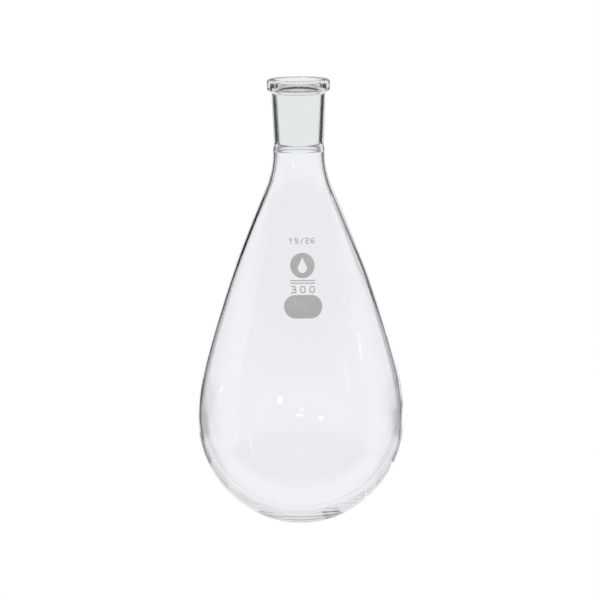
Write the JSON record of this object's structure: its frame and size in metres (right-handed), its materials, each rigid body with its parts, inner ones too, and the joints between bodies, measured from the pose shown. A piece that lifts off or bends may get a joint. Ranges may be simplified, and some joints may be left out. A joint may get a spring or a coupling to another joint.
{
  "type": "pear-shaped evaporating flask",
  "caption": "Clear glass pear-shaped flask with a round bottom, a short neck with a collared tapered socket, and grey enamel volume markings, for rotary evaporation.",
  "frame": {"origin": "centre of the mouth, in the plane of the collar's rim", "axes": "+Z along the flask's axis, up out of the mouth; -Y towards the enamel marks"},
  "size_m": [0.0806, 0.0806, 0.1743],
  "materials": {
    "glass": "clear polished borosilicate",
    "enamel": "matt fired enamel"
  },
  "bodies": {
    "root": {"bulb": "glass", "joint_socket": "glass", "size_marking": "enamel", "badge": "enamel", "rule": "enamel", "volume_marking": "enamel", "writing_patch": "enamel"}
  },
  "joints": []
}
